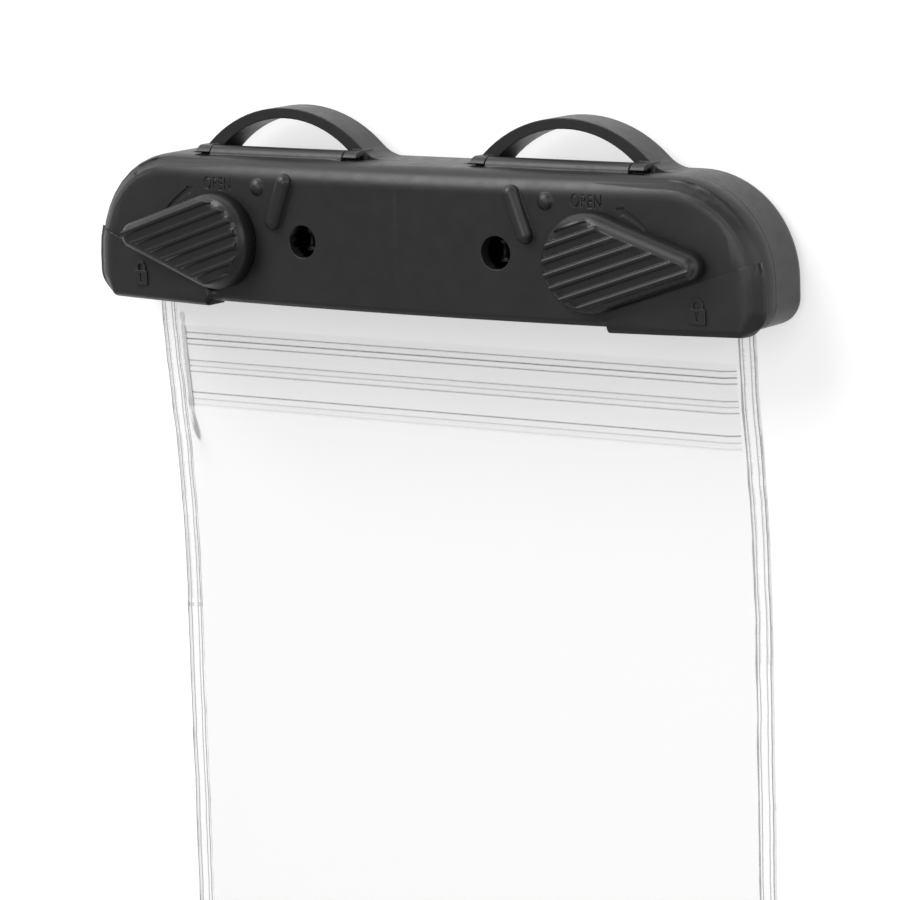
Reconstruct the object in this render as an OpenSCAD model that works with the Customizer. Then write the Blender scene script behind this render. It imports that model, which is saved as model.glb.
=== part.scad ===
// Waterproof pouch: a clear two-sheet pouch closed by a hinged clamp with two locking knobs.
// It lies on its back. X runs along the clamp, Y from the pouch up to the cord loops, Z out of the front.

/* [Clamp] */
// Width of the clamp, end to end
clamp_w = 120; // [112:0.5:130]
// Height of the clamp's body without its loops
body_h = 22.1; // [21.5:0.1:24]
// Depth of the rear shell
rear_depth = 8.9; // [8.5:0.1:10]
// Depth of the front shell at its middle
front_depth = 7.6; // [7.2:0.1:9]
// Radius of the bow of the front face, seen from above
bow_r = 425; // [380:5:900]
// Radius of the two top corners
top_corner_r = 15.5; // [12:0.5:16.5]
// Radius of the two bottom corners
bottom_corner_r = 4; // [3.5:0.1:5]
// Round along the top and the ends of the front face
front_edge_r = 3.5; // [3:0.1:3.6]
// Round along the bottom of the front face
lip_edge_r = 1.2; // [0.8:0.1:1.6]
// Round along the back of the rear shell
rear_edge_r = 2.4; // [1.6:0.1:2.8]
// Wall of both shells
wall = 2; // [1.6:0.1:2.2]
// Gap at the parting line
parting_gap = 0.1; // [0.08:0.01:0.2]
// Thickness of the stiffening ribs
web_t = 1.2; // [0.8:0.1:1.6]

/* [Cord loops and hinge] */
// Distance of each loop from the clamp's middle
loop_x = 25.2; // [23:0.1:27]
// Top of the loops above the clamp's bottom edge
loop_top = 29.4; // [29:0.1:32]
// Thickness of a loop's band at its top
loop_band = 1.6; // [1.2:0.1:2]
// Radius of a loop's outer arch
loop_outer_r = 20.7; // [19.5:0.1:22]
// Radius of the arch inside a loop
loop_inner_r = 17.6; // [17:0.1:18.4]
// Radius of the flare at a loop's feet
flare_r = 6; // [4:0.5:8]
// Depth of the loops, front to back
loop_depth = 5.9; // [5:0.1:6.4]
// Radius of the hinge barrels and of their ears
barrel_r = 1.6; // [1.5:0.05:1.8]
// Length of each hinge barrel
barrel_l = 24.6; // [23.5:0.1:25]
// Thickness of each hinge ear
ear_t = 2.4; // [2:0.1:2.8]
// Radius of the hinge pins
pin_r = 0.75; // [0.6:0.01:0.85]
// Height of the hinge axis below the top of the body
axis_drop = 0.2; // [0.1:0.05:0.5]
// Distance of the hinge axis in front of the parting line
axis_ahead = 1.2; // [1.1:0.05:1.5]
// Gap beside each ear
ear_gap = 0.2; // [0.15:0.01:0.3]

/* [Knobs] */
// Distance of each knob's axis from the clamp's middle
knob_x = 33.5; // [32.5:0.1:34.5]
// Height of the knob axes above the clamp's bottom edge
knob_y = 9.6; // [9.4:0.1:9.9]
// Radius of a knob's round head
head_r = 7.3; // [6.8:0.1:7.6]
// Radius of a knob's tip
tip_r = 2.2; // [2:0.1:2.6]
// Distance from a knob's axis to the end of its tip
knob_reach = 18; // [16:0.1:19]
// Height of a knob's top above the front face
knob_top = 3.7; // [3.6:0.1:4.6]
// Round along a knob's top edge
knob_edge_r = 1.9; // [1.2:0.1:1.95]
// Gap under a knob's head
head_gap = 0.15; // [0.12:0.01:0.25]
// Gap under a knob's tail
tail_gap = 0.9; // [0.85:0.05:1.1]
// Number of grip ribs on a knob
grip_count = 7; // [5:1:7]
// Distance between the grip ribs
grip_pitch = 2; // [1.9:0.01:2.05]
// Distance of the first grip rib from a knob's axis
grip_first = 5.85; // [5.5:0.05:6]
// Radius of the half-round grip ribs
grip_r = 0.45; // [0.3:0.05:0.6]
// Distance of the ribs' ends from a knob's outline
grip_inset = 0.95; // [0.8:0.05:2]
// Distance of the ribs' ends from the flank that they run up to
flank_inset = 1.7; // [1:0.1:2.2]
// Radius of a knob's shaft
shaft_r = 3; // [2.7:0.1:3.2]
// Gap round a knob's shaft in its bore
turn_gap = 0.05; // [0.03:0.01:0.09]
// Length of a knob's shaft below the front face
shaft_l = 9; // [8.8:0.1:9.2]
// Wall of the boss round each shaft
boss_wall = 2; // [1.6:0.1:2.2]

/* [Lock cams] */
// Half length of a lock cam
cam_a = 4; // [3.8:0.1:4.2]
// Half width of a lock cam
cam_b = 2.75; // [2.6:0.05:2.9]
// Thickness of a lock cam
cam_t = 3.2; // [2.6:0.1:3.4]
// Side of the square end that drives the cam
drive_w = 3.2; // [2.8:0.1:3.4]
// Length of the square end
drive_l = 2; // [1.6:0.1:2.2]
// Radius of the cam screw's shank
screw_r = 1; // [0.9:0.05:1.1]
// Radius of the cam screw's head
screw_head_r = 2; // [1.8:0.05:2.1]
// Depth of the countersink for the screw's head
screw_sink = 1; // [0.8:0.05:1.1]
// Length of the screw in the knob's shaft
thread_l = 4; // [3:0.1:5]
// Gap between a lock cam and its two rails
rail_gap = 0.1; // [0.05:0.01:0.2]
// Height of the rails in the rear shell
rail_h = 3.6; // [3:0.1:4]

/* [Front face details] */
// Distance of the two peg windows from the middle
peg_x = 17.35; // [16.8:0.05:17.8]
// Height of the two pegs above the clamp's bottom edge
peg_y = 10.15; // [9.8:0.05:10.5]
// Radius of a peg window
window_r = 2.5; // [2.3:0.1:2.7]
// Depth of the peg's tip behind the front face
peg_recess = 2.5; // [2.3:0.1:3.5]
// Radius of a peg's round foot
peg_r = 1.7; // [1.4:0.1:1.9]
// Distance of the click dots from the middle
dot_x = 25.8; // [25.4:0.1:26.2]
// Height of the click dots above the clamp's bottom edge
dot_y = 18; // [17.6:0.1:18.3]
// Radius of a click dot
dot_r = 1.3; // [1.1:0.1:1.4]
// Height of a click dot
dot_h = 0.75; // [0.5:0.05:0.8]
// Radius of the half-round stop ribs
stop_r = 1.3; // [1.1:0.1:1.4]
// Height of a stop rib's centre line above the front face
stop_lift = 0.2; // [0:0.05:0.3]
// Distance of a stop rib's lower end from the middle
stop_x0 = 22.6; // [22:0.1:23]
// Height of a stop rib's lower end above the clamp's bottom edge
stop_y0 = 13; // [12:0.1:14]
// Distance of a stop rib's upper end from the middle
stop_x1 = 20.3; // [20:0.1:20.5]
// Height of a stop rib's upper end above the clamp's bottom edge
stop_y1 = 19; // [18:0.1:19.5]
// Rise of the corner pads above the front face
pad_rise = 1.2; // [0.8:0.1:1.4]
// Drop of the corner pads below the bottom edge
pad_drop = 0.7; // [0.3:0.1:0.9]
// Distance of the corner pads' inner ends from the middle
pad_x = 36.1; // [35.5:0.1:37]
// Gap between a corner pad and the knob beside it
pad_gap = 0.35; // [0.3:0.05:0.5]

/* [Seals] */
// Height of the seals above the clamp's bottom edge
seal_y = 0.95; // [0.9:0.05:1.1]
// Width of the seals
seal_w = 2.4; // [2:0.1:2.5]
// Part of each seal that stands out of its groove
seal_proud = 0.6; // [0.5:0.05:0.7]
// Depth of the seal grooves
groove_d = 0.6; // [0.4:0.05:0.7]

/* [Pouch] */
// Width of the pouch
pouch_w = 107.5; // [100:0.5:109]
// Length of the pouch below the clamp
pouch_l = 180; // [150:1:200]
// Thickness of each film
film_t = 0.35; // [0.3:0.01:0.4]
// Height of the films between the two seals
film_z = 4; // [3.9:0.05:4.2]
// Height of the pouch's mouth above the clamp's bottom edge
mouth_y = 17.5; // [17:0.1:18.5]
// Cut across each top corner of the films
mouth_cut = 3; // [2.4:0.1:4]
// Length over which the pouch sags from the clamp to the table
sag_l = 52; // [46:1:60]
// Width of the welds
weld_w = 2.6; // [2:0.1:4]
// Room between the films at the zip
zip_room = 1.3; // [1.2:0.05:1.5]
// Room between the films below the zip
slack = 0.6; // [0.4:0.05:1]
// Thickness of each zip strip's tape
tape_t = 0.25; // [0.2:0.01:0.3]
// Distance of the upper zip line below the clamp
zip_top = 7.95; // [7.4:0.05:9]
// Distance between the two zip lines
zip_pitch = 4.45; // [4:0.05:5]
// Top of the zip strips below the clamp
tape_top = 6; // [5.5:0.1:6.3]
// Bottom of the zip strips below the clamp
tape_bottom = 19; // [18:0.1:20]

/* [Hidden] */
$fn = 64;
sides = [-1, 1];
eps = 0.01;
half_w = clamp_w / 2;
part_z = rear_depth + parting_gap;
front_z = rear_depth + front_depth;
bow_z = front_z - bow_r;
place_y = (pouch_l - loop_top) / 2;
tilt = asin(knob_x / bow_r);

hinge_y = body_h - axis_drop;
hinge_z = rear_depth + axis_ahead;
swing_gap = 0.3;
ear_x0 = barrel_l / 2 + ear_gap;
pin_l = barrel_l + 2 * (ear_gap + ear_t) - 0.4;
loop_z = rear_depth - loop_depth;
arch_y = loop_top - loop_outer_r;
hole_y = loop_top - loop_band - loop_inner_r;
flare_y = body_h + flare_r;
flare_x = sqrt(pow(loop_outer_r + flare_r, 2) - pow(flare_y - arch_y, 2));
flare_touch = loop_outer_r / (loop_outer_r + flare_r);

tip_x = knob_reach - tip_r;
flank = asin((head_r - tip_r) / tip_x);
boss_r = shaft_r + boss_wall;
boss_l = shaft_l - 0.3;
knob_z = bow_z + sqrt(bow_r * bow_r - knob_x * knob_x);
cam_low_x = knob_x - sin(tilt) * (shaft_l + cam_t) - cam_a * cos(tilt);
cam_high_x = knob_x - sin(tilt) * shaft_l + cam_a * cos(tilt);
rail_y0 = knob_y - cam_a - 0.3;
rail_y1 = knob_y + cam_a + 0.4;

land_gap = seal_proud + 0.02;
front_land_z = film_z + film_t + land_gap;
rear_land_z = film_z - film_t - land_gap;
jaw_h = seal_y + seal_w + 1;
lip_h = seal_y - 0.15;
lip_gap = 0.07;
tongue_y = 0.25;
slot_half = pouch_w / 2 + 0.6;

gap_rows = 2;
film_rows = concat(
    [mouth_y, mouth_y * 0.75, mouth_y / 2, mouth_y / 4, 0],
    [for (y = [-gap_rows:-gap_rows:-20]) y],
    [-23, -26, -30, -35, -40, -46, -52, -60, -80, -110],
    [for (d = [40, 22, 14, 8, 5, weld_w, 0]) -(pouch_l - d)]
);
film_half = pouch_w / 2;
film_cols = [for (d = [0, weld_w, weld_w + 0.9, weld_w + 2, 9, 16, 28, 40]) film_half - d];
film_xs = concat([for (x = film_cols) -x], [0], [for (i = [len(film_cols) - 1:-1:0]) film_cols[i]]);
window_half = cam_a + 2.4;

function clamp01(a) = min(1, max(0, a));
function ease(a) = let (b = clamp01(a)) b * b * (3 - 2 * b);
function face_z(x) = bow_z + sqrt(bow_r * bow_r - x * x);
function ball_z(x, r) = bow_z + sqrt(pow(bow_r - r, 2) - x * x);

// Underside of the rear film: level in the clamp, then a heavy sheet's curve down to the table
function sag(y) = let (t = clamp01(1 + y / sag_l)) (film_z - film_t) * (4 * pow(t, 3) - 3 * pow(t, 4));

// Room between the two films: none at the welds and in the clamp, most at the zip
function room(x, y) =
    let (across = ease((film_half - weld_w - abs(x)) / (2 + 9 * ease((-y - 19) / 20))))
    let (along = zip_room * ease((-y - 1.5) / 4) - (zip_room - slack) * ease((-y - 19.5) / 12))
    across * along * ease((pouch_l - weld_w + y) / 14);

module place() {
    translate([0, place_y, 0]) children();
}

// Puts a shape on the bowed front at a knob's axis, its Z out along the axis, its X out to the clamp's end
module at_knob(side) {
    translate([side * knob_x, knob_y, knob_z]) rotate([0, side * tilt, 0])
        rotate(side < 0 ? 180 : 0) children();
}

// The clamp's outline, drawn in by inset
module outline(inset) {
    w = half_w - inset;
    top = body_h - inset;
    rt = top_corner_r - inset;
    rb = bottom_corner_r - inset;
    union() {
        for (side = sides) {
            intersection() {
                translate([side * (w - rt), top - rt]) circle(rt, $fn = 128);
                translate([-w, top - rt]) square([2 * w, rt]);
            }
            translate([side * (w - rb), inset + rb]) circle(rb);
        }
        translate([-(w - rt), top - rt - eps]) square([2 * (w - rt), rt + eps]);
        translate([-w, inset + rb]) square([2 * w, top - rt - inset - rb]);
        translate([-(w - rb), inset]) square([2 * (w - rb), rb + eps]);
    }
}

// Outer form of the front shell: balls run along its bowed front edge under one skin
module front_skin() {
    rt = top_corner_r - front_edge_r;
    top_x = half_w - top_corner_r;
    edge_x = half_w - front_edge_r;
    hull() {
        translate([0, 0, part_z]) linear_extrude(0.3) outline(0);
        for (side = sides) {
            for (a = [0:9:90]) {
                x = top_x + rt * cos(a);
                translate([side * x, body_h - top_corner_r + rt * sin(a), ball_z(x, front_edge_r)])
                    sphere(front_edge_r, $fn = 32);
            }
            translate([side * edge_x, bottom_corner_r, ball_z(edge_x, front_edge_r)])
                sphere(front_edge_r, $fn = 32);
        }
        for (i = [-4:4]) {
            x = top_x * i / 4;
            translate([x, body_h - front_edge_r, ball_z(x, front_edge_r)])
                sphere(front_edge_r, $fn = 32);
        }
        for (i = [-5:5]) {
            x = (half_w - bottom_corner_r) * i / 5;
            translate([x, lip_edge_r, ball_z(x, lip_edge_r)]) sphere(lip_edge_r, $fn = 24);
        }
    }
}

// The raised pads under the knobs, cut off along each knob's lower flank
module corner_pads() {
    r = head_r + pad_gap;
    fx = knob_x + r * sin(flank);
    fy = knob_y - r * cos(flank);
    intersection() {
        translate([0, -pad_drop, pad_rise]) front_skin();
        for (side = sides) {
            mirror([side < 0 ? 1 : 0, 0, 0]) translate([0, 0, part_z + pad_rise + 1])
                linear_extrude(front_depth + pad_rise) polygon([
                    [pad_x, fy + (pad_x - fx) * tan(flank)], [pad_x, -5],
                    [half_w + 1, -5], [half_w + 1, fy + (half_w + 1 - fx) * tan(flank)]
                ]);
        }
    }
}

module front_cavity() {
    intersection() {
        translate([0, 0, part_z - 1]) linear_extrude(front_depth + 1) outline(wall);
        translate([0, body_h + 1, bow_z]) rotate([90, 0, 0])
            cylinder(r = bow_r - wall, h = body_h + 2, $fn = 400);
    }
}

// Each click dot is the cap of a ball, each stop rib a half-round bar beside the open knob
module face_marks() {
    ball = (dot_r * dot_r + dot_h * dot_h) / (2 * dot_h);
    stop_len = norm([stop_x0 - stop_x1, stop_y1 - stop_y0]);
    for (side = sides) mirror([side > 0 ? 1 : 0, 0, 0]) {
        translate([-dot_x, dot_y, face_z(dot_x) + dot_h - ball]) sphere(ball);
        translate([-stop_x0, stop_y0, face_z((stop_x0 + stop_x1) / 2) + stop_lift])
            rotate(atan2(stop_y1 - stop_y0, stop_x0 - stop_x1)) {
                rotate([0, 90, 0]) cylinder(r = stop_r, h = stop_len, $fn = 48);
                sphere(stop_r, $fn = 48);
                translate([stop_len, 0, 0]) sphere(stop_r, $fn = 48);
            }
    }
}

module front_ribs() {
    intersection() {
        front_cavity();
        for (x = [-49, -dot_x, 0, dot_x, 49])
            translate([x - web_t / 2, 0, part_z + 0.6]) cube([web_t, body_h, front_depth]);
    }
}

module hinge_barrel(x, r, length) {
    translate([x - length / 2, hinge_y, hinge_z]) rotate([0, 90, 0]) cylinder(r = r, h = length);
}

module front_shell() {
    ear_room = ear_t + 2 * ear_gap;
    color("#191a1c") place() difference() {
        union() {
            difference() {
                union() {
                    front_skin();
                    corner_pads();
                    face_marks();
                }
                front_cavity();
                translate([-clamp_w, -clamp_w / 2, -1]) cube([2 * clamp_w, clamp_w, part_z + 1]);
            }
            front_ribs();
            for (side = sides) {
                at_knob(side) translate([0, 0, -boss_l]) cylinder(r = boss_r, h = boss_l - wall / 2);
                hinge_barrel(side * loop_x, barrel_r, barrel_l);
            }
            // the tongue that carries the front seal reaches back to the film
            difference() {
                translate([-slot_half + 0.4, tongue_y, film_z + film_t + lip_gap])
                    cube([2 * slot_half - 0.8, jaw_h, part_z + wall - film_z - film_t - lip_gap]);
                translate([-slot_half, lip_h, 0]) cube([2 * slot_half, jaw_h, front_land_z]);
                translate([-film_half + 1, tongue_y + web_t, front_land_z + groove_d + web_t])
                    cube([pouch_w - 2, jaw_h - 2 * web_t, part_z]);
            }
        }
        translate([-film_half, seal_y, front_land_z - eps]) cube([pouch_w, seal_w, groove_d + eps]);
        for (side = sides) {
            at_knob(side) translate([0, 0, -boss_l - 1])
                cylinder(r = shaft_r + turn_gap, h = boss_l + 1 + pad_rise + 2);
            translate([side * peg_x, peg_y, part_z]) cylinder(r = window_r, h = front_depth + 2);
            hinge_barrel(side * loop_x, pin_r + eps, barrel_l + 1);
            for (end = sides) {
                x = side * loop_x + end * (ear_x0 + ear_t / 2);
                hinge_barrel(x, barrel_r + swing_gap, ear_room);
                translate([x - ear_room / 2, hinge_y - barrel_r - swing_gap, part_z - 1])
                    cube([ear_room, 6, hinge_z - part_z + 1]);
            }
        }
    }
}

module rear_skin() {
    r = rear_edge_r;
    translate([0, 0, r]) linear_extrude(rear_depth - r) outline(0);
    linear_extrude(r + eps) outline(r);
    for (side = sides) {
        mirror([side < 0 ? 1 : 0, 0, 0]) {
            translate([half_w - top_corner_r, body_h - top_corner_r, r])
                rotate_extrude(angle = 90, $fn = 128)
                    translate([top_corner_r - r, 0]) circle(r, $fn = 48);
            translate([half_w - bottom_corner_r, bottom_corner_r, r]) rotate(-90)
                rotate_extrude(angle = 90, $fn = 64) intersection() {
                    translate([bottom_corner_r - r, 0]) circle(r, $fn = 48);
                    translate([0, -r]) square(2 * r + bottom_corner_r);
                }
            translate([half_w - r, bottom_corner_r, r]) rotate([-90, 0, 0])
                cylinder(r = r, h = body_h - top_corner_r - bottom_corner_r);
        }
    }
    translate([-(half_w - top_corner_r), body_h - r, r]) rotate([0, 90, 0])
        cylinder(r = r, h = 2 * (half_w - top_corner_r));
    translate([-(half_w - bottom_corner_r), r, r]) rotate([0, 90, 0])
        cylinder(r = r, h = 2 * (half_w - bottom_corner_r));
}

// One cord loop: an arch whose feet flare into the top of the body
module cord_loop() {
    foot_y = body_h - wall;
    touch = [flare_x * flare_touch, arch_y + (flare_y - arch_y) * flare_touch];
    translate([0, 0, loop_z]) linear_extrude(loop_depth) difference() {
        union() {
            intersection() {
                translate([0, arch_y]) circle(loop_outer_r, $fn = 160);
                translate([-flare_x, foot_y]) square([2 * flare_x, loop_top]);
            }
            difference() {
                polygon([
                    [-flare_x, foot_y], [flare_x, foot_y], [flare_x, body_h], touch,
                    [-touch[0], touch[1]], [-flare_x, body_h]
                ]);
                for (side = sides) translate([side * flare_x, flare_y]) circle(flare_r, $fn = 64);
            }
        }
        intersection() {
            translate([0, hole_y]) circle(loop_inner_r, $fn = 160);
            translate([-ear_x0, body_h - eps]) square([2 * ear_x0, loop_top]);
        }
    }
}

module hinge_ear(x) {
    ear_x = x - ear_t / 2;
    hinge_barrel(x, barrel_r, ear_t);
    translate([ear_x, hinge_y - barrel_r, rear_depth - wall])
        cube([ear_t, 2 * barrel_r, hinge_z - rear_depth + wall]);
}

// A locating peg: a round foot, then an upright blade whose ends are flanged
module peg() {
    tip = face_z(peg_x) - peg_recess;
    blade_z = film_z + 2;
    translate([0, 0, wall - eps]) cylinder(r = peg_r + 0.5, h = film_z - film_t - 0.3 - wall);
    translate([0, 0, wall - eps]) cylinder(r = peg_r, h = blade_z - wall);
    translate([-0.35, -peg_r + 0.1, blade_z - 1]) cube([0.7, 2 * peg_r - 0.2, tip - blade_z + 1]);
    for (end = sides)
        translate([-0.8, end * (peg_r - 0.4) - 0.3, blade_z - 1]) cube([1.6, 0.6, tip - blade_z + 1]);
}

module rear_shell() {
    color("#17181a") place() difference() {
        union() {
            difference() {
                union() {
                    rear_skin();
                    for (side = sides) translate([side * loop_x, 0, 0]) cord_loop();
                }
                translate([0, 0, wall]) linear_extrude(rear_depth) outline(wall);
                // the slot in the bottom wall that the films and the tongue pass
                translate([-slot_half, -1, film_z - film_t - lip_gap])
                    cube([2 * slot_half, wall + 2, rear_depth]);
            }
            // the jaw under the rear seal
            translate([-slot_half, eps, wall - eps]) cube([2 * slot_half, jaw_h, rear_land_z - wall]);
            translate([-slot_half, eps, wall - eps])
                cube([2 * slot_half, lip_h, film_z - film_t - lip_gap - wall]);
            for (side = sides) {
                translate([side * peg_x, peg_y, 0]) peg();
                mirror([side < 0 ? 1 : 0, 0, 0]) {
                    translate([cam_low_x - rail_gap - web_t, rail_y0, wall - eps])
                        cube([web_t, rail_y1 - rail_y0, rail_h]);
                    translate([cam_high_x + rail_gap, rail_y0, wall - eps])
                        cube([web_t, rail_y1 - rail_y0, rail_h]);
                }
                for (end = sides) hinge_ear(side * loop_x + end * (ear_x0 + ear_t / 2));
            }
            for (x = [-47, -8, 8, 47])
                translate([x - web_t / 2, jaw_h - eps, wall - eps])
                    cube([web_t, body_h - jaw_h - wall + 0.5, film_z - film_t - wall - 0.6]);
        }
        translate([-film_half, seal_y, rear_land_z - groove_d]) cube([pouch_w, seal_w, groove_d + 1]);
        for (side = sides) {
            hinge_barrel(side * loop_x, barrel_r + swing_gap, barrel_l + 2 * ear_gap);
            for (end = sides) {
                x = side * loop_x + end * (ear_x0 + ear_t / 2);
                hinge_barrel(x, pin_r + turn_gap, ear_t + 2 * eps);
                // the open side of the ear, a little narrower than the pin that snaps in
                translate([x - ear_t / 2 - eps, hinge_y - pin_r * 0.8, hinge_z])
                    cube([ear_t + 2 * eps, pin_r * 1.6, barrel_r + 1]);
            }
        }
    }
}

// Round head, round tip and the two straight flanks that touch both
module teardrop(inset) {
    rh = head_r - inset;
    rt = tip_r - inset;
    circle(rh);
    translate([tip_x, 0]) circle(rt, $fn = 48);
    polygon([
        rh * [sin(flank), cos(flank)], [tip_x, 0] + rt * [sin(flank), cos(flank)],
        [tip_x, 0] + rt * [sin(flank), -cos(flank)], rh * [sin(flank), -cos(flank)], [0, 0]
    ]);
}

// Profile of the round along a knob's top edge, from its widest level up
module edge_round(outer_r, r) {
    intersection() {
        translate([outer_r - r, 0]) circle(r, $fn = 24);
        square([outer_r, r]);
    }
}

// The head and the tail under one skin, the tail's underside cut back to clear the click dots
module knob_form() {
    r = knob_edge_r;
    difference() {
        hull() {
            translate([0, 0, head_gap]) linear_extrude(knob_top - r - head_gap) teardrop(0);
            translate([0, 0, knob_top - r]) {
                rotate_extrude($fn = 72) edge_round(head_r, r);
                translate([tip_x, 0, 0]) rotate_extrude($fn = 32) edge_round(tip_r, r);
            }
        }
        difference() {
            translate([0, -2 * head_r, -1]) cube([2 * knob_reach, 4 * head_r, tail_gap + 1]);
            translate([0, 0, -2]) cylinder(r = head_r + 0.05, h = 5, $fn = 96);
        }
    }
}

// Half-round ribs that run parallel to one flank and end short of the other
module grip_ribs() {
    intersection() {
        translate([0, 0, knob_top - 1]) linear_extrude(3) difference() {
            teardrop(grip_inset);
            rotate(-flank) translate([0.5, head_r - flank_inset]) square([knob_reach, 3]);
        }
        for (i = [0:grip_count - 1])
            rotate(flank) translate([-head_r, i * grip_pitch - grip_first, knob_top - 0.05]) {
                rotate([0, 90, 0]) cylinder(r = grip_r, h = head_r + knob_reach, $fn = 32);
                translate([0, -grip_r, -1]) cube([head_r + knob_reach, 2 * grip_r, 1]);
            }
    }
}

// A knob with its shaft; the square end of the shaft drives the cam
module knob(side) {
    dot_reach = norm([knob_x - dot_x, dot_y - knob_y]);
    color("#1c1d20") place() at_knob(side) difference() {
        union() {
            knob_form();
            grip_ribs();
            translate([0, 0, -shaft_l]) cylinder(r = shaft_r, h = shaft_l + tail_gap);
            translate([-drive_w / 2, -drive_w / 2, -shaft_l - drive_l])
                cube([drive_w, drive_w, drive_l + 1]);
        }
        translate([0, 0, -shaft_l - drive_l - 1])
            cylinder(r = screw_r + eps, h = drive_l + thread_l + 1.2, $fn = 32);
        // the hollow under the tail that takes the click dot when the knob stands open
        translate([dot_reach, 0, tail_gap]) sphere(dot_r, $fn = 32);
    }
}

module lock_cam(side) {
    color("#3a3c40") place() at_knob(side) translate([0, 0, -shaft_l - cam_t]) difference() {
        linear_extrude(cam_t) {
            for (end = sides) translate([end * (cam_a - cam_b), 0]) circle(cam_b);
            translate([-(cam_a - cam_b), -cam_b]) square([2 * (cam_a - cam_b), 2 * cam_b]);
        }
        translate([-drive_w / 2 - 0.02, -drive_w / 2 - 0.02, cam_t - drive_l - 0.05])
            cube([drive_w + 0.04, drive_w + 0.04, drive_l + 1]);
        translate([0, 0, -1]) cylinder(r = screw_r + turn_gap, h = cam_t + 1, $fn = 32);
        translate([0, 0, -eps])
            cylinder(r1 = screw_head_r + 0.02, r2 = screw_r + turn_gap, h = screw_sink, $fn = 48);
    }
}

module cam_screw(side) {
    color("#b9bcc0") place() at_knob(side) translate([0, 0, -shaft_l - cam_t]) difference() {
        union() {
            translate([0, 0, screw_sink * 0.04])
                cylinder(r1 = screw_head_r - 0.06, r2 = screw_r, h = screw_sink * 0.92, $fn = 48);
            translate([0, 0, 0.2])
                cylinder(r = screw_r, h = cam_t + thread_l - 0.4, $fn = 32);
        }
        for (a = [0, 90]) rotate(a) translate([-1.1, -0.22, -1]) cube([2.2, 0.44, 1.6]);
    }
}

module hinge_pin(side) {
    color("#c4c7cb") place() hinge_barrel(side * loop_x, pin_r, pin_l);
}

module seal(z0) {
    color("#8f9499") place() translate([-film_half + 0.1, seal_y + 0.05, z0])
        cube([pouch_w - 0.2, seal_w - 0.1, seal_proud + groove_d - 0.02]);
}

// A film as one closed sheet: a grid of points below, the same grid a film's thickness above
module sheet(lifted) {
    nx = len(film_xs);
    ny = len(film_rows);
    n = nx * ny;
    base = [
        for (y = film_rows) for (x = film_xs)
            [x, y, sag(y) + (lifted ? film_t + room(x, y) : 0)]
    ];
    top = [for (p = base) p + [0, 0, film_t]];
    cells = [for (j = [0:ny - 2]) for (i = [0:nx - 2]) j * nx + i];
    below = [for (c = cells) each [[c, c + 1, c + nx + 1], [c, c + nx + 1, c + nx]]];
    above = [for (f = below) [f[2] + n, f[1] + n, f[0] + n]];
    rim = concat(
        [for (i = [0:nx - 2]) i], [for (j = [0:ny - 2]) j * nx + nx - 1],
        [for (i = [nx - 1:-1:1]) (ny - 1) * nx + i], [for (j = [ny - 1:-1:1]) j * nx]
    );
    m = len(rim);
    walls = [for (k = [0:m - 1]) let (a = rim[k], b = rim[(k + 1) % m]) each
        [[b, a, a + n], [b, a + n, b + n]]];
    polyhedron(points = concat(base, top), faces = concat(below, above, walls), convexity = 6);
}

module film(lifted) {
    difference() {
        sheet(lifted);
        for (side = sides) {
            // the sheet's top corner, cut off where the shells round theirs
            translate([side * film_half, mouth_y, 0]) rotate(45)
                cube([mouth_cut * sqrt(2), mouth_cut * sqrt(2), 2 * front_z], center = true);
            translate([side * peg_x, peg_y, 0]) cylinder(r = peg_r + 0.3, h = front_z, $fn = 32);
            mirror([side < 0 ? 1 : 0, 0, 0])
                translate([cam_low_x - rail_gap - web_t - 0.5, rail_y0 - 0.5, 0])
                    cube([cam_high_x - cam_low_x + 2 * (rail_gap + web_t) + 1,
                        rail_y1 - rail_y0 + 1, front_z]);
        }
    }
}

module front_film() {
    color([0.88, 0.93, 0.95, 0.4]) place() film(true);
}

module rear_film() {
    color([0.88, 0.93, 0.95, 0.4]) place() film(false);
}

// A zip strip: a tape along the film and two lines of profile, cut to the room inside the welds
module zip_strip(lifted) {
    air = 0.02;
    tape_rows = [for (y = [tape_top:(tape_bottom - tape_top) / 13:tape_bottom + eps]) -y];
    zip_half = film_half - weld_w - 2.3;
    rise = zip_room - 2 * (tape_t + air) - 0.06;
    z0 = lifted ? film_t + zip_room - air - tape_t : film_t + air;
    rotate([90, 0, 90]) translate([0, 0, -zip_half]) linear_extrude(2 * zip_half)
        polygon(concat(
            [for (y = tape_rows) [y, sag(y) + z0]],
            [for (i = [len(tape_rows) - 1:-1:0]) [tape_rows[i], sag(tape_rows[i]) + z0 + tape_t]]
        ));
    for (k = [0, 1]) {
        yc = -(zip_top + k * zip_pitch);
        if (lifted)
            translate([-zip_half, yc - 0.4, sag(yc) + z0 - rise])
                cube([2 * zip_half, 0.8, rise + tape_t / 2]);
        else
            for (end = sides)
                translate([-zip_half, yc + end * 0.72 - 0.24, sag(yc) + z0 + tape_t / 2])
                    cube([2 * zip_half, 0.48, rise + tape_t / 2 - 0.08]);
    }
}

module front_zip_strip() {
    color([0.8, 0.86, 0.88, 0.6]) place() zip_strip(true);
}

module rear_zip_strip() {
    color([0.8, 0.86, 0.88, 0.6]) place() zip_strip(false);
}

front_shell();
rear_shell();
knob(-1);  // left_knob
knob(1);  // right_knob
lock_cam(-1);  // left_lock_cam
lock_cam(1);  // right_lock_cam
cam_screw(-1);  // left_cam_screw
cam_screw(1);  // right_cam_screw
hinge_pin(-1);  // left_hinge_pin
hinge_pin(1);  // right_hinge_pin
seal(film_z + film_t + 0.02);  // front_seal
seal(rear_land_z - groove_d);  // rear_seal
front_film();
rear_film();
front_zip_strip();
rear_zip_strip();
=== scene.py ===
import math

import bmesh
import bpy
import numpy as np
from mathutils import Matrix, Vector


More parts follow.
